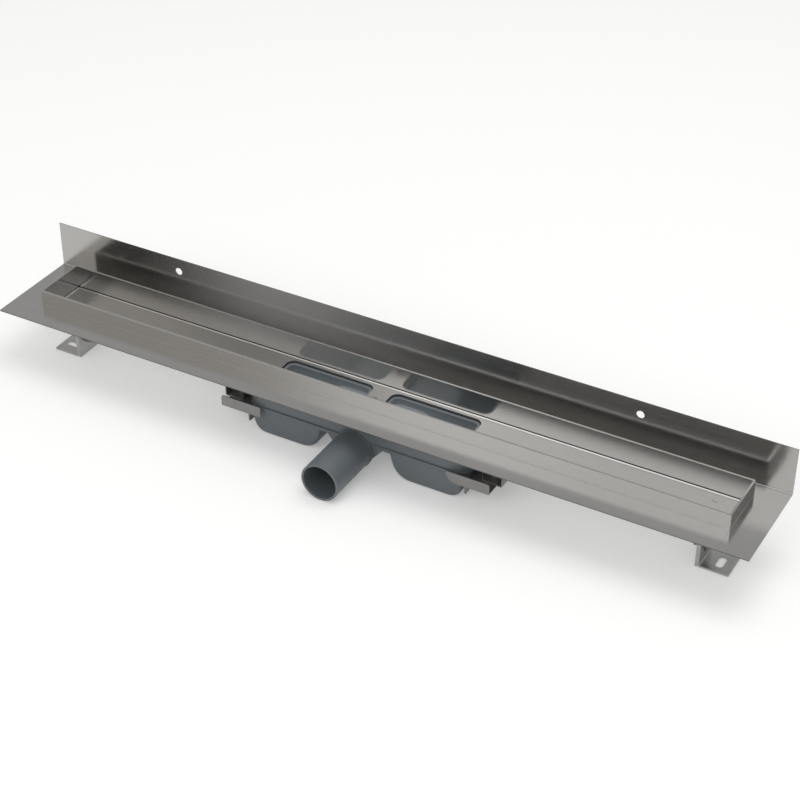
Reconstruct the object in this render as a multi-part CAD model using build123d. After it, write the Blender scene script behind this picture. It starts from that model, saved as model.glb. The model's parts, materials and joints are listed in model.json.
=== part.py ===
"""Linear shower drain for a wall-side fitting, with a folded steel channel and a low two-sump trap.

Millimetres. X runs along the channel, +Y points at the wall and Z is up. The pieces are built about
the middle of the channel, with y = 0 at the front of the wall flange and z = 0 on top of the tiling
flange, and are then moved together so that the origin is under the middle of the whole drain.
"""
from build123d import *
from math import acos, atan2, cos, hypot, sin
import os

# Channel sheet
SHEET = 1.2
BEND_R = 1.5
TIGHT_BEND_R = 0.5
TROUGH_LENGTH = 944.0
TROUGH_WIDTH = 74.0
RIM_HEIGHT = 19.4
FLOOR_DROP = 12.8
REAR_SHELF = 20.0
FRONT_FLANGE = 40.0
END_FLANGE = 38.0
WALL_FLANGE_HEIGHT = 62.0
CORNER_STRIP = 4.0

# Holes of the channel
INLET_LENGTH = 123.2
INLET_MARGIN = 6.1
INLET_R = 11.0
INLET_BRIDGE = 25.5
WALL_HOLE_D = 10.0
WALL_HOLE_X = 321.0
WALL_HOLE_HEIGHT = 43.8

# Trap mouldings
PLASTIC_WALL = 2.5
GASKET = 2.5
GASKET_INSET = 4.0
COVER_END_MARGIN = 18.0
COVER_SIDE_MARGIN = 20.5
COVER_R = 22.0
LIP_REACH = 2.0
LIP_HEIGHT = 2.2
TRAY_FLOOR_DROP = 36.5
TRAP_DEPTH = 78.0
GROUND_CLEARANCE = 1.0
SUMP_SPACING = 89.0
SUMP_END_STEP = 6.0
SUMP_SIDE_STEP = 2.5
SUMP_INNER_DRAFT = 11.7
SUMP_END_DRAFT = 4.5
SUMP_INNER_R = 26.0
SUMP_END_R = 18.0
SUMP_EDGE_R = 4.0
WEIR_DROP = 45.0
CHAMBER_STEP = 6.2
CHAMBER_R = 24.0

# Outlet
OUTLET_D = 50.0
OUTLET_WALL = 2.8
OUTLET_REACH = 185.0
COLLAR_STEP = 1.0
COLLAR_PROUD = 0.5

# Trap inserts
LEDGE_WIDTH = 2.3
LEDGE_THICKNESS = 2.5
INSERT_CLEARANCE = 0.5
INSERT_WALL = 1.8
INSERT_SEAL = 1.0
SHELF_DROP = 25.5
RAMP_START = 30.0
RAMP_LENGTH = 26.0
RAMP_FALL = 13.0
TUBE_END_CLEARANCE = 7.5

# Screw between the channel and the trap cover
SCREW_D = 6.0
SCREW_HEAD_D = 12.0
SCREW_HEAD_H = 2.6
SCREW_KEY = 4.0
SCREW_LENGTH = 14.0
SCREW_INSERT_D = 8.6
SCREW_INSERT_LENGTH = 12.0
SCREW_BOSS_D = 16.0
THREAD_CLEARANCE = 0.05

# Cradles and hangers at the two ends of the trap
CRADLE_SHEET = 1.5
CRADLE_LAP = 25.0
CRADLE_TAB_LAP = 4.0
CRADLE_REACH = 32.0
CRADLE_WING = 7.5
CRADLE_SIDE_GAP = 6.0
CRADLE_ARM = 7.0
CRADLE_DROP = 49.5
BAR_HEIGHT = 14.5
BAR_R = 3.0
BAR_SWEEP = 13.0
TAB_HEIGHT = 17.0
HANGER_GAP = 12.5
HANGER_MARGIN = 2.0
HANGER_FLANGE = 20.0
CRADLE_BOLT_SPACING = 38.0
M6_D = 6.0
M6_HEAD_AF = 10.0
M6_HEAD_H = 4.0
M6_NUT_H = 5.0

# Legs and feet at the two ends of the channel
LEG_SHEET = 2.5
LEG_INSET = 40.5
LEG_WIDTH = 37.5
LEG_OFFSET = 2.8
LEG_FLANGE = 24.0
FOOT_REACH = 38.0
FOOT_HEIGHT = 42.0
FOOT_SLOT_LENGTH = 21.0
FOOT_SLOT_WIDTH = 9.5
FOOT_SLOT_REACH = 24.8
ADJUST_SLOT_LENGTH = 24.0
FOOT_BOLT_DROP = 56.0
M8_D = 8.0
M8_HOLE_D = 9.0
M8_HEAD_AF = 13.0
M8_HEAD_H = 5.3
M8_NUT_H = 6.5
WASHER_D = 16.0
WASHER_H = 1.6
THREAD_END = 2.5

# Derived places
FLANGE_DEPTH = REAR_SHELF + TROUGH_WIDTH + FRONT_FLANGE
OVERALL_LENGTH = TROUGH_LENGTH + 2 * END_FLANGE
TROUGH_REAR = -REAR_SHELF
TROUGH_FRONT = TROUGH_REAR - TROUGH_WIDTH
MID_Y = (TROUGH_REAR + TROUGH_FRONT) / 2
FLOOR_UNDER = -FLOOR_DROP - SHEET
INLET_X = (INLET_BRIDGE + INLET_LENGTH) / 2
INLET_WIDTH = TROUGH_WIDTH - 2 * (2 * SHEET + INLET_MARGIN)
COVER_LENGTH = INLET_BRIDGE + 2 * (INLET_LENGTH + COVER_END_MARGIN)
COVER_WIDTH = INLET_WIDTH + 2 * COVER_SIDE_MARGIN
COVER_END = COVER_LENGTH / 2
SUMP_WIDTH = COVER_WIDTH - 2 * SUMP_SIDE_STEP
DECK_TOP = FLOOR_UNDER - GASKET
DECK_UNDER = DECK_TOP - PLASTIC_WALL
OUTLET_R = OUTLET_D / 2
OUTLET_DROP = TRAP_DEPTH - OUTLET_R
BUILD_HEIGHT = TRAP_DEPTH + GROUND_CLEARANCE
BASE_TOP = -CRADLE_DROP + CRADLE_SHEET
CRADLE_INNER = COVER_END - CRADLE_LAP
CRADLE_TAB = COVER_END - CRADLE_TAB_LAP
CRADLE_OUTER = COVER_END + CRADLE_REACH
CRADLE_WIDTH = COVER_WIDTH + 2 * CRADLE_SIDE_GAP
HANGER_X = COVER_END + HANGER_GAP
HANGER_WIDTH = TROUGH_WIDTH - 2 * HANGER_MARGIN
LEG_X = TROUGH_LENGTH / 2 - LEG_INSET
FOOT_SLOT_X = LEG_X + FOOT_SLOT_REACH
PLACE = Pos(0, (OUTLET_REACH - SHEET) / 2, BUILD_HEIGHT)


def outline(points, rounds):
    """A closed face through the points, with the named corners rounded."""
    face = make_face(Polyline(*points, close=True))
    for index, radius in rounds.items():
        corner = face.vertices().sort_by_distance(Vector(*points[index]))[0]
        face = fillet(corner, radius)
    return face


def along_x(face, length):
    """Extrudes a section drawn as (y, z) both ways from the middle of the channel."""
    return extrude(Plane.YZ * face, amount=length / 2, both=True)


def along_y(face, y_from, y_to):
    """Extrudes a section drawn as (x, z) between two values of y."""
    return Pos(0, y_to, 0) * extrude(Plane.XZ * face, amount=y_to - y_from)


def slab(face, z_low, z_high):
    """Extrudes an outline drawn as (x, y) between two heights."""
    return Pos(0, 0, z_low) * extrude(face, amount=z_high - z_low)


def rounded_slab(x, y, length, width, radius, z_low, z_high):
    """A flat block with rounded upright corners, centred on (x, y)."""
    return slab(Pos(x, y) * RectangleRounded(length, width, radius), z_low, z_high)


def block(x_low, x_high, y_low, y_high, z_low, z_high):
    """A plain block between its limits."""
    size = (x_high - x_low, y_high - y_low, z_high - z_low)
    middle = ((x_low + x_high) / 2, (y_low + y_high) / 2, (z_low + z_high) / 2)
    return Pos(*middle) * Box(*size)


def mouth(inset, side=1):
    """Place, size and corner radius of an inlet's outline, drawn in by the inset."""
    length, width = INLET_LENGTH - 2 * inset, INLET_WIDTH - 2 * inset
    return side * INLET_X, MID_Y, length, width, INLET_R - inset


def mirrored(shape):
    """The same piece at the other end of the channel."""
    return mirror(shape, about=Plane.YZ)


def turned(shape):
    """The same piece turned half round about the middle of the trap."""
    return Pos(0, 2 * MID_Y, 0) * Rot(0, 0, 180) * shape


# Channel

def channel_body():
    """Wall flange, rear shelf, hemmed rims, floor and front flange, folded from one sheet."""
    rear, front = TROUGH_REAR, TROUGH_FRONT
    hem = 2 * SHEET
    points = [
        (SHEET, WALL_FLANGE_HEIGHT), (0, WALL_FLANGE_HEIGHT), (0, 0), (rear, 0),
        (rear, RIM_HEIGHT), (rear - hem, RIM_HEIGHT), (rear - hem, -FLOOR_DROP),
        (front + hem, -FLOOR_DROP), (front + hem, RIM_HEIGHT), (front, RIM_HEIGHT), (front, 0),
        (-FLANGE_DEPTH, 0), (-FLANGE_DEPTH, -SHEET), (front + SHEET, -SHEET),
        (front + SHEET, FLOOR_UNDER), (rear - SHEET, FLOOR_UNDER), (rear - SHEET, -SHEET), (SHEET, -SHEET),
    ]
    outer_r = BEND_R + SHEET
    tight_r = TIGHT_BEND_R
    hem_r = 0.85 * SHEET
    rounds = {
        2: BEND_R, 3: tight_r, 4: hem_r, 5: hem_r, 6: tight_r, 7: tight_r, 8: hem_r, 9: hem_r, 10: tight_r,
        14: tight_r + SHEET, 15: tight_r + SHEET, 17: outer_r,
    }
    body = along_x(outline(points, rounds), TROUGH_LENGTH)
    wall = [
        (SHEET, WALL_FLANGE_HEIGHT), (0, WALL_FLANGE_HEIGHT), (0, 0), (-CORNER_STRIP, 0),
        (-CORNER_STRIP, -SHEET), (SHEET, -SHEET),
    ]
    body += along_x(outline(wall, {2: BEND_R, 5: outer_r}), OVERALL_LENGTH)
    for side in (-1, 1):
        body -= rounded_slab(*mouth(0, side), FLOOR_UNDER - 1, 1 - FLOOR_DROP)
        hole = Rot(90, 0, 0) * Cylinder(WALL_HOLE_D / 2, 4 * SHEET)
        body -= Pos(side * WALL_HOLE_X, 0, WALL_HOLE_HEIGHT) * hole
    body -= Pos(0, MID_Y, FLOOR_UNDER) * Cylinder(SCREW_D / 2 + INSERT_CLEARANCE, 4 * SHEET)
    return body


def right_end_piece():
    """End wall with a hemmed rim and the end flange, folded from one sheet and welded in."""
    end = TROUGH_LENGTH / 2
    tip = end + END_FLANGE
    hem = 2 * SHEET
    points = [
        (tip, 0), (end, 0), (end, RIM_HEIGHT), (end - hem, RIM_HEIGHT), (end - hem, -FLOOR_DROP),
        (end - SHEET, -FLOOR_DROP), (end - SHEET, -SHEET), (tip, -SHEET),
    ]
    hem_r = 0.85 * SHEET
    section = outline(points, {1: TIGHT_BEND_R, 2: hem_r, 3: hem_r})
    front, rear = TROUGH_FRONT + hem, TROUGH_REAR - hem
    lip = RIM_HEIGHT + SHEET
    inside = outline([(front, -FLOOR_DROP), (rear, -FLOOR_DROP), (rear, lip), (front, lip)],
                     {0: TIGHT_BEND_R, 1: TIGHT_BEND_R})
    wall = along_y(section, front, rear) & along_x(inside, 2 * tip)
    flange = block(end, tip, -FLANGE_DEPTH, -CORNER_STRIP, -SHEET, 0)
    return wall + flange


# Trap

def trap_gasket():
    """Flat rubber gasket between the channel's floor and the trap's cover."""
    width = TROUGH_WIDTH - 2 * (SHEET + BEND_R)
    length = COVER_LENGTH - 2 * GASKET_INSET
    gasket = rounded_slab(0, MID_Y, length, width, INLET_R, DECK_TOP, FLOOR_UNDER)
    for side in (-1, 1):
        gasket -= rounded_slab(*mouth(0, side), DECK_TOP - 1, 0)
    gasket -= Pos(0, MID_Y, DECK_TOP) * Cylinder(SCREW_D / 2 + INSERT_CLEARANCE, 4 * GASKET)
    return gasket


def trap_cover():
    """Upper moulding: a deck with two mouths and a screw boss, welded on top of the lower moulding."""
    cover = rounded_slab(0, MID_Y, COVER_LENGTH, COVER_WIDTH, COVER_R, DECK_UNDER, DECK_TOP)
    rim = cover.edges().filter_by(Plane.XY).group_by(Axis.Z)[-1]
    cover = chamfer(rim, 0.4 * PLASTIC_WALL)
    for side in (-1, 1):
        cover += rounded_slab(*mouth(-PLASTIC_WALL, side), DECK_UNDER - LEDGE_THICKNESS, DECK_UNDER)
        cover -= rounded_slab(*mouth(0, side), DECK_UNDER, 0)
        cover -= rounded_slab(*mouth(LEDGE_WIDTH, side), DECK_UNDER - 2 * LEDGE_THICKNESS, 0)
    boss_end = DECK_TOP - SCREW_INSERT_LENGTH - PLASTIC_WALL
    cover += Pos(0, MID_Y, (boss_end + DECK_UNDER) / 2) * Cylinder(SCREW_BOSS_D / 2, DECK_UNDER - boss_end)
    pocket = Cylinder(SCREW_INSERT_D / 2, SCREW_INSERT_LENGTH)
    cover -= Pos(0, MID_Y, DECK_TOP - SCREW_INSERT_LENGTH / 2) * pocket
    return cover


def sump(inset):
    """The right sump's form: drafted ends with round feet and upright sides, drawn in for its inside."""
    near, far = SUMP_SPACING / 2 + inset, COVER_END - SUMP_END_STEP - inset
    top, foot = -TRAY_FLOOR_DROP, inset - TRAP_DEPTH
    half = SUMP_WIDTH / 2 - inset
    points = [(near, top), (far, top), (far - SUMP_END_DRAFT, foot), (near + SUMP_INNER_DRAFT, foot)]
    profile = outline(points, {2: SUMP_END_R - inset, 3: SUMP_INNER_R - inset})
    form = along_y(profile, MID_Y - half, MID_Y + half)
    sides = form.faces().sort_by(Axis.Y)
    rims = [edge for side in (sides[0], sides[-1]) for edge in side.edges() if edge.center().Z < top - 0.1]
    return fillet(rims, SUMP_EDGE_R - inset)


def hull(inset):
    """The outlet chamber's form between the sumps: a shallow step, sloping sides and a round bottom."""
    radius = CHAMBER_R - inset
    half = SUMP_SPACING / 2 - CHAMBER_STEP - inset
    step = inset - WEIR_DROP
    rise = step + OUTLET_DROP
    angle = atan2(rise, half) - acos(radius / hypot(half, rise))
    touch = (radius * cos(angle), radius * sin(angle) - OUTLET_DROP)
    sides = outline([(-half, step), (half, step), touch, (-touch[0], touch[1])], {})
    section = sides + Pos(0, -OUTLET_DROP) * Circle(radius)
    width = SUMP_WIDTH / 2 - inset
    chamber = along_y(section, MID_Y - width, MID_Y + width)
    wide = SUMP_SPACING / 2 + 2 * PLASTIC_WALL
    return chamber + block(-wide, wide, MID_Y - width, MID_Y + width, step, -TRAY_FLOOR_DROP)


def outlet_tube(radius, y_from, y_to):
    """A round bar on the outlet's axis."""
    middle = (y_from + y_to) / 2
    return Pos(0, middle, -OUTLET_DROP) * Rot(90, 0, 0) * Cylinder(radius, y_to - y_from)


def trap_body():
    """Lower moulding: a tray with a bead round its foot, two sumps, an outlet chamber and its pipe."""
    floor = -TRAY_FLOOR_DROP
    low = floor - PLASTIC_WALL
    lip_length, lip_width = COVER_LENGTH + 2 * LIP_REACH, COVER_WIDTH + 2 * LIP_REACH
    inner_length, inner_width = COVER_LENGTH - 2 * PLASTIC_WALL, COVER_WIDTH - 2 * PLASTIC_WALL
    chamber_front = MID_Y - SUMP_WIDTH / 2
    body = rounded_slab(0, MID_Y, COVER_LENGTH, COVER_WIDTH, COVER_R, low, DECK_UNDER)
    body += rounded_slab(0, MID_Y, lip_length, lip_width, COVER_R + LIP_REACH, low, low + LIP_HEIGHT)
    outer, inner = sump(0), sump(PLASTIC_WALL)
    body += outer + mirrored(outer) + hull(0)
    body += outlet_tube(OUTLET_R, -OUTLET_REACH, chamber_front + PLASTIC_WALL)
    body += outlet_tube(OUTLET_R + COLLAR_STEP, MID_Y - lip_width / 2 - COLLAR_PROUD, chamber_front)
    body -= rounded_slab(0, MID_Y, inner_length, inner_width, COVER_R - PLASTIC_WALL, floor, DECK_UNDER + 1)
    body -= inner + mirrored(inner)
    body -= hull(PLASTIC_WALL)
    body -= outlet_tube(OUTLET_R - OUTLET_WALL, -OUTLET_REACH - 1, chamber_front + 2 * PLASTIC_WALL)
    return body


def insert_form(inset, z_top):
    """The right insert's shelf and dip tube, drawn in by the wall for its inside."""
    half = INLET_LENGTH / 2 - LEDGE_WIDTH - INSERT_CLEARANCE - inset
    near, far = INLET_X - half, INLET_X + half
    shelf = inset - SHELF_DROP
    start = near + RAMP_START
    ramp_end = (start + RAMP_LENGTH, shelf - RAMP_FALL)
    tube_end = TUBE_END_CLEARANCE + PLASTIC_WALL - TRAP_DEPTH - (1 if inset else 0)
    ramp = Spline((start, shelf), ramp_end, tangents=[(1, 0), (0.35, -1)])
    edges = [
        Line((near, z_top), (near, shelf)), Line((near, shelf), (start, shelf)), ramp,
        Line(ramp_end, (ramp_end[0], tube_end)), Line((ramp_end[0], tube_end), (far, tube_end)),
        Line((far, tube_end), (far, z_top)), Line((far, z_top), (near, z_top)),
    ]
    width = INLET_WIDTH - 2 * (LEDGE_WIDTH + INSERT_CLEARANCE + inset)
    form = along_y(make_face(Wire(edges)), MID_Y - width / 2, MID_Y + width / 2)
    plan = rounded_slab(INLET_X, MID_Y, 2 * half, width, INLET_R - LEDGE_WIDTH - inset, tube_end, z_top)
    return form & plan


def right_trap_insert():
    """Lift-out moulding: a rim, a shelf over the outlet chamber and a dip tube into the sump."""
    rim_low = DECK_UNDER + INSERT_SEAL
    rim_high = rim_low + INSERT_WALL
    rim = rounded_slab(*mouth(INSERT_CLEARANCE), rim_low, rim_high)
    return rim + insert_form(0, rim_low) - insert_form(INSERT_WALL, rim_high)


def right_insert_seal():
    """Rubber ring between the insert's rim and the ledge in the cover's mouth."""
    low, high = DECK_UNDER, DECK_UNDER + INSERT_SEAL
    ring = rounded_slab(*mouth(INSERT_CLEARANCE), low, high)
    return ring - rounded_slab(*mouth(LEDGE_WIDTH), low - 1, high + 1)


def trap_screw():
    """Button-head screw through the bridge between the inlets into the cover's threaded insert."""
    seat = -FLOOR_DROP
    head_r = SCREW_HEAD_D / 2
    dome = make_face(Wire([
        Line((0, 0), (head_r, 0)), Line((head_r, 0), (head_r, SCREW_HEAD_H / 4)),
        ThreePointArc((head_r, SCREW_HEAD_H / 4), (0.7 * head_r, 0.82 * SCREW_HEAD_H), (0, SCREW_HEAD_H)),
        Line((0, SCREW_HEAD_H), (0, 0)),
    ]))
    head = revolve(Plane.XZ * dome, axis=Axis.Z)
    key = SCREW_HEAD_H / 2
    head -= Pos(0, 0, SCREW_HEAD_H - key) * hexagon(SCREW_KEY, 2 * key)
    shank = Pos(0, 0, -SCREW_LENGTH / 2) * Cylinder(SCREW_D / 2, SCREW_LENGTH)
    return Pos(0, MID_Y, seat) * (head + shank)


def screw_insert():
    """Brass threaded insert moulded into the cover's boss."""
    length = SCREW_INSERT_LENGTH
    bush = Cylinder(SCREW_INSERT_D / 2, length) - Cylinder(SCREW_D / 2 + THREAD_CLEARANCE, 2 * length)
    return Pos(0, MID_Y, DECK_TOP - length / 2) * bush


# Cradles and hangers

def bar(swept):
    """Upright strip along the cradle's edge, with one inner end either swept up or square."""
    low, high = -CRADLE_DROP, BAR_HEIGHT - CRADLE_DROP
    points = [(CRADLE_INNER, low), (CRADLE_OUTER, low), (CRADLE_OUTER, high), (CRADLE_INNER, high)]
    inner_r = BAR_SWEEP if swept else BAR_R
    return outline(points, {0: inner_r, 2: BAR_R})


def right_cradle():
    """Folded sheet round the sump's end: two arms with upright bars, a base, a tab and an outer web."""
    low, top = -CRADLE_DROP, BASE_TOP
    half = CRADLE_WIDTH / 2
    front, rear = MID_Y - half, MID_Y + half
    wing = CRADLE_OUTER + CRADLE_WING
    web_half = HANGER_WIDTH / 2
    base = block(CRADLE_TAB, CRADLE_OUTER, front, rear, low, top)
    base += block(CRADLE_OUTER, wing, MID_Y - web_half, MID_Y + web_half, low, top)
    for y_low, y_high in ((front, front + CRADLE_ARM), (rear - CRADLE_ARM, rear)):
        base += block(CRADLE_INNER + BAR_SWEEP, CRADLE_TAB, y_low, y_high, low, top)
    base += along_y(bar(True), front, front + CRADLE_SHEET)
    base += along_y(bar(False), rear - CRADLE_SHEET, rear)
    web_top = FLOOR_UNDER
    base += block(wing - CRADLE_SHEET, wing, MID_Y - web_half, MID_Y + web_half, low, web_top)
    outer_bend = base.edges().filter_by(Axis.Y).sort_by_distance(Vector(wing, MID_Y, low))[0]
    base = fillet(outer_bend, BEND_R + CRADLE_SHEET)
    tab_half = half - CRADLE_ARM
    tab = [
        (MID_Y - tab_half, top), (MID_Y + tab_half, top), (MID_Y + tab_half, low - TAB_HEIGHT),
        (MID_Y - tab_half, low - TAB_HEIGHT),
    ]
    tab_face = outline(tab, {2: BAR_R, 3: BAR_R})
    base += Pos(CRADLE_TAB, 0, 0) * extrude(Plane.YZ * tab_face, amount=CRADLE_SHEET)
    for y in cradle_bolt_rows():
        base -= Pos(cradle_bolt_x(), y, low) * Cylinder(M6_D / 2 + INSERT_CLEARANCE, 4 * CRADLE_SHEET)
    return base


def cradle_bolt_x():
    """Middle of the hanger's lower flange."""
    return HANGER_X + CRADLE_SHEET + (HANGER_FLANGE - CRADLE_SHEET) / 2


def cradle_bolt_rows():
    """Places of the two bolts along the hanger's lower flange."""
    return (MID_Y - CRADLE_BOLT_SPACING / 2, MID_Y + CRADLE_BOLT_SPACING / 2)


def right_hanger():
    """C-shaped sheet: upper flange welded under the channel, web, and lower flange on the cradle."""
    low, high = BASE_TOP, FLOOR_UNDER
    x0, x1 = HANGER_X, HANGER_X + HANGER_FLANGE
    x2 = x0 + CRADLE_SHEET
    points = [
        (x0, low), (x1, low), (x1, low + CRADLE_SHEET), (x2, low + CRADLE_SHEET),
        (x2, high - CRADLE_SHEET), (x1, high - CRADLE_SHEET), (x1, high), (x0, high),
    ]
    outer_r = BEND_R + CRADLE_SHEET
    section = outline(points, {0: outer_r, 3: BEND_R, 4: BEND_R, 7: outer_r})
    hanger = along_y(section, MID_Y - HANGER_WIDTH / 2, MID_Y + HANGER_WIDTH / 2)
    for y in cradle_bolt_rows():
        hanger -= Pos(cradle_bolt_x(), y, low) * Cylinder(M6_D / 2 + INSERT_CLEARANCE, 6 * CRADLE_SHEET)
    return hanger


def hexagon(across, height):
    """A hexagonal block standing on z = 0."""
    return extrude(RegularPolygon(across / 2, 6, major_radius=False), height)


def cradle_bolts():
    """Four hexagon bolts from under the cradles, one solid each."""
    length = 2 * CRADLE_SHEET + M6_NUT_H + THREAD_END
    bolt = Pos(0, 0, -M6_HEAD_H) * hexagon(M6_HEAD_AF, M6_HEAD_H)
    bolt += Pos(0, 0, length / 2) * Cylinder(M6_D / 2, length)
    return spread(bolt, -CRADLE_DROP)


def cradle_nuts():
    """Four nuts on the hangers' lower flanges, one solid each."""
    nut = hexagon(M6_HEAD_AF, M6_NUT_H) - Cylinder(M6_D / 2 + THREAD_CLEARANCE, 4 * M6_NUT_H)
    return spread(nut, BASE_TOP + CRADLE_SHEET)


def spread(shape, z):
    """A cradle fastener at its four places."""
    x = cradle_bolt_x()
    return Compound(children=[Pos(side * x, y, z) * shape for side in (-1, 1) for y in cradle_bolt_rows()])


# Legs and feet

def foot_y():
    """Middle of the legs and feet across the channel."""
    return MID_Y - LEG_OFFSET


def right_leg():
    """Folded sheet: a flange welded under the channel's floor and an upright that reaches the ground."""
    x0 = LEG_X
    x1 = x0 + LEG_SHEET
    tip = x0 + LEG_FLANGE
    high, low = FLOOR_UNDER, -BUILD_HEIGHT
    under = high - LEG_SHEET
    points = [(x0, low), (x1, low), (x1, under), (tip, under), (tip, high), (x0, high)]
    section = outline(points, {2: BEND_R, 5: BEND_R + LEG_SHEET})
    leg = along_y(section, foot_y() - LEG_WIDTH / 2, foot_y() + LEG_WIDTH / 2)
    return leg - foot_bore(M8_HOLE_D / 2)


def right_foot(turn=90):
    """Folded angle: an upright with a slot for setting the height and a base with a turned fixing slot."""
    x0 = LEG_X + LEG_SHEET
    x1 = x0 + LEG_SHEET
    tip = x0 + FOOT_REACH
    low = -BUILD_HEIGHT
    base, top = low + LEG_SHEET, low + FOOT_HEIGHT
    points = [(x0, top), (x0, low), (tip, low), (tip, base), (x1, base), (x1, top)]
    section = outline(points, {1: BEND_R + LEG_SHEET, 4: BEND_R})
    foot = along_y(section, foot_y() - LEG_WIDTH / 2, foot_y() + LEG_WIDTH / 2)
    slot = Pos(FOOT_SLOT_X, foot_y()) * SlotOverall(FOOT_SLOT_LENGTH, FOOT_SLOT_WIDTH, rotation=turn)
    foot -= slab(slot, low - 1, low + 2 * LEG_SHEET)
    adjust = Pos(foot_y(), -FOOT_BOLT_DROP) * SlotOverall(ADJUST_SLOT_LENGTH, M8_HOLE_D, rotation=90)
    return foot - Pos(x0 - 1, 0, 0) * extrude(Plane.YZ * adjust, amount=2 * LEG_SHEET)


def foot_bore(radius):
    """A round bar along X through the leg, where the foot's bolt goes."""
    return Pos(LEG_X, foot_y(), -FOOT_BOLT_DROP) * Rot(0, 90, 0) * Cylinder(radius, 8 * LEG_SHEET)


def at_foot_bolt(shape, x):
    """Lays a fastener drawn along Z along X, with its seat at x and its head outwards."""
    return Pos(x, foot_y(), -FOOT_BOLT_DROP) * Rot(0, 90, 0) * shape


def pair(shape):
    """A right-hand fastener and its mirror image as two solids of one group."""
    return Compound(children=[shape, mirrored(shape)])


def foot_bolts():
    """Hexagon bolts that clamp the feet to the legs, one solid each."""
    grip = 2 * LEG_SHEET + 2 * WASHER_H + M8_NUT_H + THREAD_END
    bolt = hexagon(M8_HEAD_AF, M8_HEAD_H) + Pos(0, 0, -grip / 2) * Cylinder(M8_D / 2, grip)
    return pair(at_foot_bolt(bolt, LEG_X + 2 * LEG_SHEET + WASHER_H))


def washer():
    """A flat washer standing on z = 0."""
    ring = Cylinder(WASHER_D / 2, WASHER_H) - Cylinder(M8_D / 2 + THREAD_CLEARANCE, 2 * WASHER_H)
    return Pos(0, 0, WASHER_H / 2) * ring


def foot_washers():
    """Washers under the bolts' heads and under their nuts, one solid each."""
    under_head = at_foot_bolt(washer(), LEG_X + 2 * LEG_SHEET)
    under_nut = at_foot_bolt(washer(), LEG_X - WASHER_H)
    return Compound(children=[under_head, under_nut, mirrored(under_head), mirrored(under_nut)])


def foot_nuts():
    """Hexagon nuts on the inner sides of the legs, one solid each."""
    nut = hexagon(M8_HEAD_AF, M8_NUT_H) - Cylinder(M8_D / 2 + THREAD_CLEARANCE, 4 * M8_NUT_H)
    return pair(at_foot_bolt(nut, LEG_X - WASHER_H - M8_NUT_H))


def pieces():
    """Every separate piece by its name."""
    end, insert, seal = right_end_piece(), right_trap_insert(), right_insert_seal()
    cradle, hanger, leg, foot = right_cradle(), right_hanger(), right_leg(), right_foot()
    return {
        "channel_body": channel_body(),
        "left_end_piece": mirrored(end),
        "right_end_piece": end,
        "trap_gasket": trap_gasket(),
        "trap_cover": trap_cover(),
        "trap_body": trap_body(),
        "left_trap_insert": mirrored(insert),
        "right_trap_insert": insert,
        "left_insert_seal": mirrored(seal),
        "right_insert_seal": seal,
        "trap_screw": trap_screw(),
        "screw_insert": screw_insert(),
        "left_cradle": turned(cradle),
        "right_cradle": cradle,
        "left_hanger": mirrored(hanger),
        "right_hanger": hanger,
        "cradle_bolts": cradle_bolts(),
        "cradle_nuts": cradle_nuts(),
        "left_leg": mirrored(leg),
        "right_leg": leg,
        "left_foot": mirrored(right_foot(turn=0)),
        "right_foot": foot,
        "foot_bolts": foot_bolts(),
        "foot_washers": foot_washers(),
        "foot_nuts": foot_nuts(),
    }


os.makedirs("parts", exist_ok=True)
for name, shape in pieces().items():
    export_step(PLACE * shape, f"parts/{name}.step")
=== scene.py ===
"""Looks of a linear shower drain: a brushed steel channel, a satin plastic trap and plated fasteners."""
import json
import math

import bmesh
import bpy
from mathutils import Matrix, Vector


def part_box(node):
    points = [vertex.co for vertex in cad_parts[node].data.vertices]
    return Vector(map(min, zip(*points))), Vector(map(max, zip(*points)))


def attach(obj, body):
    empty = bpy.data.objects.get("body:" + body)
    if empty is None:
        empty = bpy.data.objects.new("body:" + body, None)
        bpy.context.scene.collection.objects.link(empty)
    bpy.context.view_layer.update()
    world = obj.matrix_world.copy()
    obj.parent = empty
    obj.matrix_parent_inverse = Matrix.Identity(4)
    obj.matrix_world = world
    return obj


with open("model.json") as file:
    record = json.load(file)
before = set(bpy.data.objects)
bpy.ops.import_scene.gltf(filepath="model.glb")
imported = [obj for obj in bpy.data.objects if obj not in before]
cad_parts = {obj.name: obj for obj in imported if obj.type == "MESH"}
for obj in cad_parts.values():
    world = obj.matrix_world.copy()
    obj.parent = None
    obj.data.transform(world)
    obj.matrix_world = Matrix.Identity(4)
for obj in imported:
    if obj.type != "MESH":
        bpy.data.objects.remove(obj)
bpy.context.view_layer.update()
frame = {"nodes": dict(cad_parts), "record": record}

BODY = "root"
MM = 0.001

# The photograph's view, with the camera's place in metres
CAMERA_PLACE = (0.97498, -1.63586, 1.41191)
CAMERA_AZIMUTH = math.radians(-29.327)
CAMERA_ELEVATION = math.radians(34.804)
CAMERA_ROLL = math.radians(0.183)
FOCAL_PIXELS = 1947.55
FRAME_PIXELS = 800
SENSOR = 36.0
NEAREST, FARTHEST = 0.01, 50

# Stage and light, in metres
FLOOR_SIZE = 12.0
FLOOR_COLOUR = (0.86, 0.86, 0.855, 1)
FLOOR_SPECKS = 0.985
FLOOR_LIFT = 0.25
WORLD_COLOUR = (0.56, 0.56, 0.555, 1)
WHITE = (1.0, 1.0, 1.0)
WARM = (1.0, 0.93, 0.84)
TOP_LIGHT_PLACE = (0.6, 0.3, 3.0)
TOP_LIGHT_SIZE = (2.0, 2.0)
TOP_LIGHT = 2.0

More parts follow.
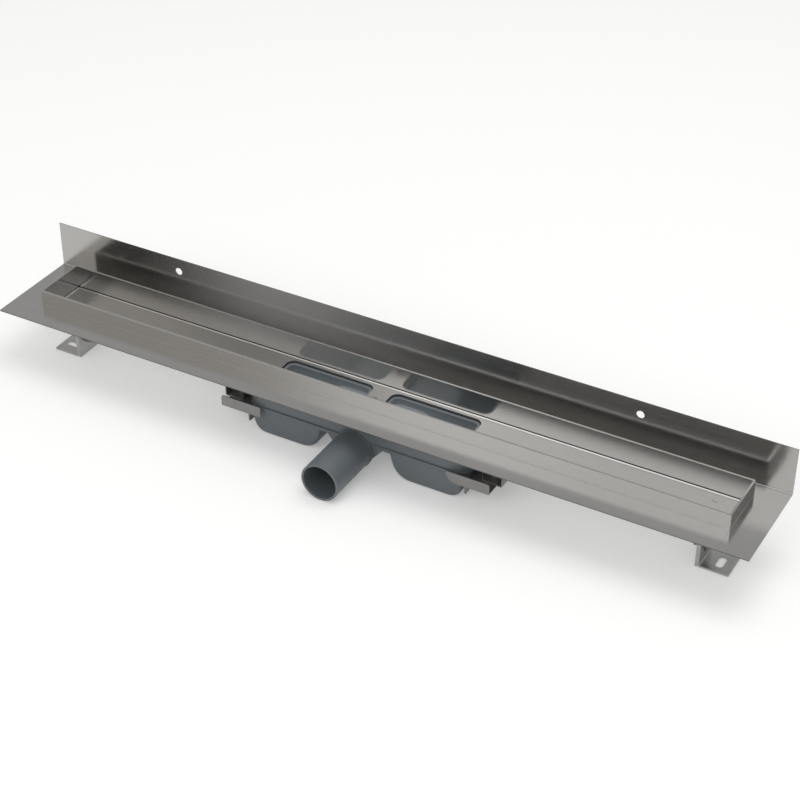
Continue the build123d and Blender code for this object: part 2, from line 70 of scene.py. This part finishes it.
# Upright soft lights in front of the drain: name, left end and right end along X, brightness, colour
PANEL_DISTANCE = 3.0
PANEL_FOOT = 1.6
PANEL_TOP = 3.5
PANELS = (
    ("window", -1.94, -1.1, 2.05, WHITE),
    ("window_right", -1.1, 0.9, 1.78, WHITE),
    ("wall", -5.0, -1.94, 0.62, WARM),
    ("side", 1.7, 2.7, 1.7, WHITE),
)

# The painted sheen on the steel's upright rear faces: a lighter cloud that stands in for a highlight, in
# metres
SHEEN_LEFT, SHEEN_MIDDLE, SHEEN_RIGHT = -0.38, -0.18, 0.14
REAR_FACES_FROM, REAR_FACES_TO = 0.0690, 0.0694
SHEEN_METALLIC = 0.42

# Grains of the metals, as the noise's scale along X, Y and Z
LONG_GRAIN = (40.0, 200.0, 200.0)
EDGE_GRAIN = (60.0, 300.0, 300.0)
EVEN_GRAIN = (300.0, 300.0, 300.0)
DULL = 0.55

# Sizes of the channel's sheet, in millimetres
HEM = 2.4
FLANGE_SHEET = 1.2
FRONT_FLANGE = 40.0
TROUGH_WIDTH = 74.0
RIM_HEIGHT = 19.4

# Trim on the sheet, in millimetres: how far it is sunk in, stands out and stops short of an edge
SUNK = 0.05
PROUD = 0.03
SHORT = 0.1

# Hems at the trough's foot, by depth, flat top and height, and the dark strips of painted shade over them
# in the folds, by foot and top
REAR_HEM, REAR_SHADE_STRIP = (2.4, 1.3, 1.3), (1.3, 2.1)
END_HEM, END_SHADE_STRIP = (2.2, 1.3, 1.1), (1.1, 2.1)

# Spot marks in the trough's floor over the legs
MARKS_X = (430.9, 434.1)
MARKS_Y = 53.1
MARK_R = 0.8
MARK_HEIGHT = 0.12
MARK_SUNK = 0.01
MARK_STEPS = 12
MARK_RINGS = 3


def box_mm(node):
    """The lowest and highest corners of a CAD node, in millimetres."""
    return [[round(value / MM, 2) for value in corner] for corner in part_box(node)]


# The channel's faces in the shared frame, in millimetres
CHANNEL_LOW, CHANNEL_HIGH = box_mm("channel_body")
END_LOW, END_HIGH = box_mm("right_end_piece")
FLANGE_FRONT = CHANNEL_LOW[1]
FLANGE_END = CHANNEL_HIGH[0]
FLOOR_TOP = END_LOW[2]
RIM_TOP = END_HIGH[2]
FLANGE_TOP = RIM_TOP - RIM_HEIGHT
TROUGH_END = END_LOW[0] + HEM
RIM_FRONT = FLANGE_FRONT + FRONT_FLANGE
RIM_REAR = RIM_FRONT + TROUGH_WIDTH


def linear(r, g, b):
    """A colour given in display values from 0 to 255, as the shader wants it."""
    def part(v):
        v /= 255
        return v / 12.92 if v <= 0.04045 else ((v + 0.055) / 1.055) ** 2.4
    return part(r), part(g), part(b), 1


class Shader:
    """A material's node tree with short ways to add and link nodes."""

    def __init__(self, name):
        self.material = bpy.data.materials.new(name)
        self.material.use_nodes = True
        self.tree = self.material.node_tree
        self.surface = self.tree.nodes["Principled BSDF"]

    def add(self, kind, **settings):
        node = self.tree.nodes.new(kind)
        for key, value in settings.items():
            setattr(node, key, value)
        return node

    def feed(self, value, socket):
        """Links a node's output into a socket, or sets the socket to a constant."""
        if hasattr(value, "node"):
            self.tree.links.new(value, socket)
        else:
            socket.default_value = value

    def set(self, name, value):
        """Feeds one of the surface's own sockets."""
        self.feed(value, self.surface.inputs[name])

    def split(self, vector):
        """The X, Y and Z of a vector."""
        node = self.add("ShaderNodeSeparateXYZ")
        self.feed(vector, node.inputs["Vector"])
        return node.outputs

    def position(self):
        """The object's own coordinates."""
        return self.add("ShaderNodeTexCoord").outputs["Object"]

    def normal(self):
        """The direction that the surface faces."""
        return self.add("ShaderNodeNewGeometry").outputs["Normal"]

    def noise(self, scale, detail=3.0, roughness=0.55):
        """Soft noise in the object's own coordinates, with a scale for each axis."""
        mapping = self.add("ShaderNodeMapping")
        mapping.inputs["Scale"].default_value = scale
        self.feed(self.position(), mapping.inputs["Vector"])
        node = self.add("ShaderNodeTexNoise")
        node.inputs["Scale"].default_value = 1.0
        node.inputs["Detail"].default_value = detail
        node.inputs["Roughness"].default_value = roughness
        self.feed(mapping.outputs["Vector"], node.inputs["Vector"])
        return node.outputs["Fac"]

    def spread(self, value, low, high, start=0.3, end=0.7, way="LINEAR"):
        """Maps a value's usual stretch onto a chosen one."""
        node = self.add("ShaderNodeMapRange", interpolation_type=way)
        node.inputs["From Min"].default_value = start
        node.inputs["From Max"].default_value = end
        node.inputs["To Min"].default_value = low
        node.inputs["To Max"].default_value = high
        self.feed(value, node.inputs["Value"])
        return node.outputs["Result"]

    def mix(self, value, first, second):
        """A colour between two others."""
        node = self.add("ShaderNodeMix", data_type="RGBA")
        first_colour, second_colour, result = node.inputs[6], node.inputs[7], node.outputs[2]
        self.feed(first, first_colour)
        self.feed(second, second_colour)
        self.feed(value, node.inputs["Factor"])
        return result

    def maths(self, operation, first, second):
        node = self.add("ShaderNodeMath", operation=operation)
        self.feed(first, node.inputs[0])
        self.feed(second, node.inputs[1])
        return node.outputs["Value"]

    def bump(self, height, strength, distance):
        """The surface's direction over a fine relief."""
        node = self.add("ShaderNodeBump")
        node.inputs["Strength"].default_value = strength
        node.inputs["Distance"].default_value = distance
        self.feed(height, node.inputs["Height"])
        return node.outputs["Normal"]

    def brush(self, along, strength):
        """Lays the gloss across a grain that runs along the given direction."""
        across = self.add("ShaderNodeVectorMath", operation="CROSS_PRODUCT")
        across.inputs[0].default_value = along
        self.feed(self.normal(), across.inputs[1])
        self.set("Tangent", across.outputs["Vector"])
        self.set("Anisotropic", strength)


def painted_sheen(s):
    """How much painted sheen the upright rear faces get, from 0 to 1: a soft cloud left of the middle that
    stands in for a highlight.
    """
    place, facing = s.split(s.position()), s.split(s.normal())
    rise = s.spread(place["X"], 0.0, 1.0, SHEEN_LEFT, SHEEN_MIDDLE, "SMOOTHSTEP")
    fall = s.spread(place["X"], 1.0, 0.0, SHEEN_MIDDLE, SHEEN_RIGHT, "SMOOTHSTEP")
    behind = s.spread(place["Y"], 0.0, 1.0, REAR_FACES_FROM, REAR_FACES_TO)
    upright = s.spread(facing["Y"], 1.0, 0.0, -0.9, -0.5)
    return s.maths("MULTIPLY", s.maths("MULTIPLY", s.maths("MULTIPLY", rise, fall), behind), upright)


def brushed_sheet(name, light, dark, smooth, rough):
    """Stainless sheet with a fine grain along the channel, faint long streaks and cloudiness, and a painted
    sheen on its upright rear faces.
    """
    s = Shader(name)
    clouds = s.noise((4.0, 12.0, 12.0))
    streaks = s.noise((1.6, 260.0, 260.0), 2.0)
    # Lower metallic inside the painted sheen: a lighter cloud that stands in for a highlight, not a change
    # in the sheet
    s.set("Metallic", s.spread(painted_sheen(s), 1.0, SHEEN_METALLIC, 0.0, 1.0))
    s.set("Base Color", s.mix(s.spread(s.maths("ADD", clouds, streaks), 0.0, 1.0, 0.7, 1.3), dark, light))
    s.set("Roughness", s.spread(streaks, smooth, rough))
    s.brush((1.0, 0.002, 0.003), 0.5)
    return s.material


def metal(name, light, dark, smooth, rough, grain, shine=1.0):
    """Plain metal with a soft grain; a lower shine is for dull plating."""
    s = Shader(name)
    clouds = s.noise((40.0, 40.0, 40.0))
    texture = s.noise(grain, 2.0)
    s.set("Metallic", shine)
    s.set("Base Color", s.mix(s.spread(clouds, 0.0, 1.0), dark, light))
    s.set("Roughness", s.spread(texture, smooth, rough))
    return s.material


def moulded_plastic(name, light, dark, rough, deep_painted_light=None):
    """Satin moulded plastic with a fine grain, and with painted light deep inside if a colour is given: a
    paler colour lower down.
    """
    s = Shader(name)
    clouds = s.noise((14.0, 14.0, 14.0), 4.0)
    pores = s.noise((700.0, 700.0, 700.0), 2.0)
    shade = s.mix(s.spread(clouds, 0.0, 1.0), dark, light)
    if deep_painted_light:
        # Painted light: the colour turns paler lower down, where the inside of the inlets lies
        depth = s.spread(s.split(s.position())["Z"], 1.0, 0.0, 0.02, 0.064)
        shade = s.mix(depth, shade, deep_painted_light)
    s.set("Base Color", shade)
    s.set("Roughness", s.spread(clouds, rough - 0.04, rough + 0.04))
    s.set("Normal", s.bump(pores, 0.08, 0.00005))
    return s.material


def soft_rubber(name):
    """Matt black rubber with fine specks."""
    s = Shader(name)
    specks = s.noise((500.0, 500.0, 500.0), 2.0)
    s.set("Base Color", s.mix(specks, (0.04, 0.041, 0.042, 1), (0.06, 0.061, 0.062, 1)))
    s.set("Roughness", s.spread(specks, 0.7, 0.85))
    s.set("Normal", s.bump(specks, 0.2, 0.00005))
    return s.material


def dress(node, material):
    """Gives a CAD node its finish."""
    slots = frame["nodes"][node].data.materials
    slots.clear()
    slots.append(material)


def trim_finishes():
    """The finishes that only the added pieces have."""
    # Dark weld for the spot marks, also used as painted shade for the strips in the folds
    weld_and_fold_shade = metal("dark_weld_and_fold_shade", (0.05, 0.048, 0.046, 1), (0.03, 0.029, 0.028, 1), 0.45, 0.6,
                 (600.0, 600.0, 600.0))
    # A darker copy of the sheet steel for the rear hem: painted shade in the crease
    shaded_fold = metal("shaded_fold_steel", (0.32, 0.316, 0.31, 1), (0.29, 0.287, 0.281, 1), 0.16, 0.2, EDGE_GRAIN)
    # A much paler copy of the sheet steel for the end hems: a painted highlight along the folds at the
    # trough's ends
    edge_highlight = metal("painted_edge_highlight", (0.9, 0.89, 0.87, 1), (0.8, 0.79, 0.77, 1), 0.25, 0.35, EDGE_GRAIN)
    # A dark copy of the steel for the flange's front edge: painted shade along its outline
    edge_shade = metal("front_edge_shade", (0.15, 0.147, 0.142, 1), (0.11, 0.108, 0.104, 1), 0.35, 0.45,
                    (40.0, 400.0, 400.0))
    return {"weld_and_fold_shade": weld_and_fold_shade, "shaded_fold": shaded_fold, "edge_highlight": edge_highlight, "edge_shade": edge_shade}


def finishes():
    """Dresses every CAD node and returns the finishes of the added pieces."""
    sheet = brushed_sheet("channel_steel", (0.44, 0.435, 0.425, 1), (0.42, 0.415, 0.405, 1), 0.165, 0.185)
    bracket = metal("bracket_steel", (0.26, 0.256, 0.25, 1), (0.23, 0.226, 0.22, 1), 0.3, 0.36,
                    LONG_GRAIN, DULL)
    foot = metal("foot_steel", (0.46, 0.455, 0.45, 1), (0.4, 0.396, 0.39, 1), 0.3, 0.36, LONG_GRAIN)
    plated = metal("plated_steel", (0.26, 0.255, 0.24, 1), (0.2, 0.195, 0.185, 1), 0.3, 0.4,
                   EVEN_GRAIN, DULL)
    brass = metal("turned_brass", (0.62, 0.46, 0.2, 1), (0.55, 0.4, 0.17, 1), 0.25, 0.35,
                  (300.0, 300.0, 900.0))
    trap = moulded_plastic("trap_plastic", linear(103, 109, 113), linear(98, 104, 107), 0.42)
    # The cover's plastic is a darker copy of the trap's: painted shade under the flange
    cover_in_shade = moulded_plastic("cover_plastic_painted_shade", linear(93, 98, 99), linear(88, 92, 93), 0.42)
    # The insert's last colour is painted light: a paler colour deep inside the inlets
    insert = moulded_plastic("insert_plastic", linear(120, 126, 131), linear(114, 120, 125), 0.35,
                             linear(228, 236, 241))
    by_slot = {
        "stainless_steel": bracket, "plated_steel": plated, "trap_plastic": trap, "insert_plastic": insert,
        "rubber": soft_rubber("seal_rubber"), "brass": brass,
    }
    by_node = {
        "channel_body": sheet, "left_end_piece": sheet, "right_end_piece": sheet, "trap_cover": cover_in_shade,
        "left_leg": foot, "right_leg": foot, "left_foot": foot, "right_foot": foot,
    }
    for part in frame["record"]["subparts"]:
        dress(part["node"], by_node.get(part["node"], by_slot[part["material_slot"]]))
    return {"sheet": sheet, "bracket": bracket, **trim_finishes()}


def piece(name, bm, material, smooth=False):
    """Turns a bmesh in millimetres into a piece of the drain."""
    bmesh.ops.scale(bm, vec=(MM, MM, MM), verts=bm.verts)
    bmesh.ops.recalc_face_normals(bm, faces=bm.faces)
    mesh = bpy.data.meshes.new(name)
    bm.to_mesh(mesh)
    bm.free()
    for polygon in mesh.polygons:
        polygon.use_smooth = smooth
    mesh.materials.append(material)
    obj = bpy.data.objects.new(name, mesh)
    bpy.context.scene.collection.objects.link(obj)
    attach(obj, BODY)


def rectangle(bm, box, inset, z):
    """Four corners of a box (x_low, x_high, y_low, y_high) on the level z, drawn in by the inset."""
    x0, x1, y0, y1 = box[0] + inset, box[1] - inset, box[2] + inset, box[3] - inset
    return [bm.verts.new(corner) for corner in ((x0, y0, z), (x1, y0, z), (x1, y1, z), (x0, y1, z))]


def circle(bm, x, y, z, radius):
    """Corners on a circle round (x, y) on the level z."""
    turns = [2 * math.pi * i / MARK_STEPS for i in range(MARK_STEPS)]
    return [bm.verts.new((x + radius * math.cos(turn), y + radius * math.sin(turn), z)) for turn in turns]


def bridge(bm, first, second):
    """Joins two closed loops of as many corners."""
    count = len(first)
    for i in range(count):
        j = (i + 1) % count
        bm.faces.new((first[i], first[j], second[j], second[i]))


def bar(bm, section, ends):
    """A closed bar between two ends, with a section that gives its corners at either end."""
    rings = [[bm.verts.new(corner) for corner in section(end)] for end in ends]
    bridge(bm, *rings)
    bm.faces.new(rings[0])
    bm.faces.new(rings[1])


def dome(bm, x, y, z, radius, height):
    """A shallow round mark with its middle at (x, y) on the level z."""
    rings = []
    for index in range(MARK_RINGS):
        slope = math.pi / 2 * index / MARK_RINGS
        rings.append(circle(bm, x, y, z + height * math.sin(slope), radius * math.cos(slope)))
    for lower, upper in zip(rings, rings[1:]):
        bridge(bm, lower, upper)
    bm.faces.new(rings[-1])
    bm.faces.new(rings[0])


def rim_band(finish):
    """The flat folded edge on top of the trough's four rims, with its corners broken."""
    proud, thick, edge = 0.02, 0.5, 0.15
    box = (-TROUGH_END - proud, TROUGH_END + proud, RIM_FRONT - proud, RIM_REAR + proud)
    width = HEM + 2 * proud
    top, foot = RIM_TOP + proud, RIM_TOP - thick
    outline = ((0, foot), (0, top - edge), (edge, top),
               (width - edge, top), (width, top - edge), (width, foot))
    bm = bmesh.new()
    loops = [rectangle(bm, box, inset, z) for inset, z in outline]
    for first, second in zip(loops, loops[1:] + loops[:1]):
        bridge(bm, first, second)
    piece("rim_band", bm, finish["sheet"])


def hem(depth, flat, top):
    """Corners of a folded hem: how far out of the trough and how high over its floor each lies."""
    return (SUNK, -SUNK), (SUNK, top), (-flat, top), (-depth, -SUNK)


def fold_shade_strip(foot, top):
    """Corners of the dark strip of painted shade in the fold on a wall's face, given as a hem's are."""
    return (SUNK, foot), (SUNK, top), (-PROUD, top), (-PROUD, foot)


def folds(finish):
    """The hems along the trough's foot at the rear and both ends, in steels that carry painted shade at the
    rear and a painted highlight at the ends, with dark strips of painted shade over them in the folds.
    """
    end, rear = TROUGH_END - HEM, RIM_REAR - HEM
    along, across = (-end, end), (RIM_FRONT + HEM, rear)
    rear_hem, end_hems, fold_shade_strips = bmesh.new(), bmesh.new(), bmesh.new()

    def at_rear(corners):
        return lambda x: [(x, rear + out, FLOOR_TOP + height) for out, height in corners]

    def at_end(side, corners):
        return lambda y: [(side * (end + out), y, FLOOR_TOP + height) for out, height in corners]

    bar(rear_hem, at_rear(hem(*REAR_HEM)), along)
    bar(fold_shade_strips, at_rear(fold_shade_strip(*REAR_SHADE_STRIP)), along)
    for side in (-1, 1):
        bar(end_hems, at_end(side, hem(*END_HEM)), across)
        bar(fold_shade_strips, at_end(side, fold_shade_strip(*END_SHADE_STRIP)), across)
    piece("rear_hem", rear_hem, finish["shaded_fold"])
    piece("end_hems", end_hems, finish["edge_highlight"])
    piece("fold_shade_lines", fold_shade_strips, finish["weld_and_fold_shade"])


def front_edge_shade(finish):
    """A dark strip over the front edge of the tiling flange: painted shade that draws its outline."""
    margin = 0.02
    top, foot = FLANGE_TOP - margin, FLANGE_TOP - FLANGE_SHEET + margin
    inner, outer = FLANGE_FRONT + SUNK, FLANGE_FRONT - PROUD
    bm = bmesh.new()
    bar(bm, lambda x: ((x, inner, foot), (x, inner, top), (x, outer, top), (x, outer, foot)),
        (SHORT - FLANGE_END, FLANGE_END - SHORT))
    piece("front_edge_shade", bm, finish["edge_shade"])


def weld_marks(finish):
    """Spot marks in the floor over the legs."""
    bm = bmesh.new()
    for side in (-1, 1):
        for x in MARKS_X:
            dome(bm, side * x, MARKS_Y, FLOOR_TOP - MARK_SUNK, MARK_R, MARK_HEIGHT)
    piece("weld_marks", bm, finish["weld_and_fold_shade"], smooth=True)


def flange_seams(finish):
    """The seams between the channel's front flange and the end flanges."""
    foot_half, top_half = 0.2, 0.1
    low, high = FLANGE_TOP - SUNK, FLANGE_TOP + PROUD
    bm = bmesh.new()
    for side in (-1, 1):
        middle = side * TROUGH_END
        corners = ((middle - foot_half, low), (middle + foot_half, low),
                   (middle + top_half, high), (middle - top_half, high))
        bar(bm, lambda y: [(x, y, z) for x, z in corners], (FLANGE_FRONT + SUNK, RIM_FRONT - SHORT))
    piece("flange_seams", bm, finish["bracket"])


def camera():
    """The calibrated camera of the photograph."""
    azimuth, elevation = CAMERA_AZIMUTH, CAMERA_ELEVATION
    ahead = Vector((math.sin(azimuth) * math.cos(elevation), math.cos(azimuth) * math.cos(elevation),
                    -math.sin(elevation)))
    level = ahead.cross(Vector((0, 0, 1))).normalized()
    above = level.cross(ahead)
    right = math.cos(CAMERA_ROLL) * level + math.sin(CAMERA_ROLL) * above
    up = math.cos(CAMERA_ROLL) * above - math.sin(CAMERA_ROLL) * level
    data = bpy.data.cameras.new("camera")
    data.sensor_width = SENSOR
    data.lens = SENSOR * FOCAL_PIXELS / FRAME_PIXELS
    data.clip_start = NEAREST
    data.clip_end = FARTHEST
    eye = bpy.data.objects.new("camera", data)
    eye.matrix_world = Matrix.Translation(CAMERA_PLACE) @ Matrix((right, up, -ahead)).transposed().to_4x4()
    bpy.context.scene.collection.objects.link(eye)
    bpy.context.scene.camera = eye


def floor():
    """A plain pale floor that shows white where no shadow falls on it."""
    half = FLOOR_SIZE / 2
    corners = [(-half, -half, 0), (half, -half, 0), (half, half, 0), (-half, half, 0)]
    mesh = bpy.data.meshes.new("floor")
    mesh.from_pydata(corners, [], [(0, 1, 2, 3)])
    plane = bpy.data.objects.new("floor", mesh)
    bpy.context.scene.collection.objects.link(plane)
    s = Shader("floor")
    darker = tuple(FLOOR_SPECKS * part for part in FLOOR_COLOUR[:3]) + (1,)
    s.set("Base Color", s.mix(s.noise((30.0, 30.0, 30.0)), FLOOR_COLOUR, darker))
    s.set("Roughness", 0.9)
    s.set("Specular IOR Level", 0.1)
    path = s.add("ShaderNodeLightPath").outputs
    seen = s.maths("MAXIMUM", path["Is Camera Ray"], path["Is Glossy Ray"])
    seen = s.maths("MAXIMUM", seen, path["Is Transmission Ray"])
    s.set("Emission Color", (1, 1, 1, 1))
    s.set("Emission Strength", s.maths("MULTIPLY", seen, FLOOR_LIFT))
    mesh.materials.append(s.material)


def lamp(name, place, target, size, radiance, colour):
    """A rectangular soft light of an even brightness that faces its target."""
    data = bpy.data.lights.new(name, "AREA")
    data.shape = "RECTANGLE"
    data.size, data.size_y = size
    data.energy = math.pi * radiance * size[0] * size[1]
    data.color = colour
    light = bpy.data.objects.new(name, data)
    light.location = place
    light.rotation_euler = (Vector(target) - Vector(place)).to_track_quat("-Z", "Y").to_euler()
    bpy.context.scene.collection.objects.link(light)


def panel(name, left, right, radiance, colour):
    """An upright soft light in front of the drain, between two places along X."""
    centre = Vector(((left + right) / 2, -PANEL_DISTANCE, (PANEL_TOP + PANEL_FOOT) / 2))
    lamp(name, centre, centre + Vector((0, 1, 0)), (right - left, PANEL_TOP - PANEL_FOOT), radiance, colour)


def light():
    """The pale surroundings, the upright panels in front and the soft light overhead."""
    world = bpy.data.worlds.new("studio")
    world.use_nodes = True
    background = world.node_tree.nodes["Background"]
    background.inputs["Color"].default_value = WORLD_COLOUR
    background.inputs["Strength"].default_value = 1.0
    bpy.context.scene.world = world
    for values in PANELS:
        panel(*values)
    lamp("top", TOP_LIGHT_PLACE, (0, 0, 0), TOP_LIGHT_SIZE, TOP_LIGHT, WHITE)


finish = finishes()
rim_band(finish)
folds(finish)
front_edge_shade(finish)
weld_marks(finish)
flange_seams(finish)
camera()
floor()
light()
bpy.context.scene.view_settings.view_transform = "Standard"
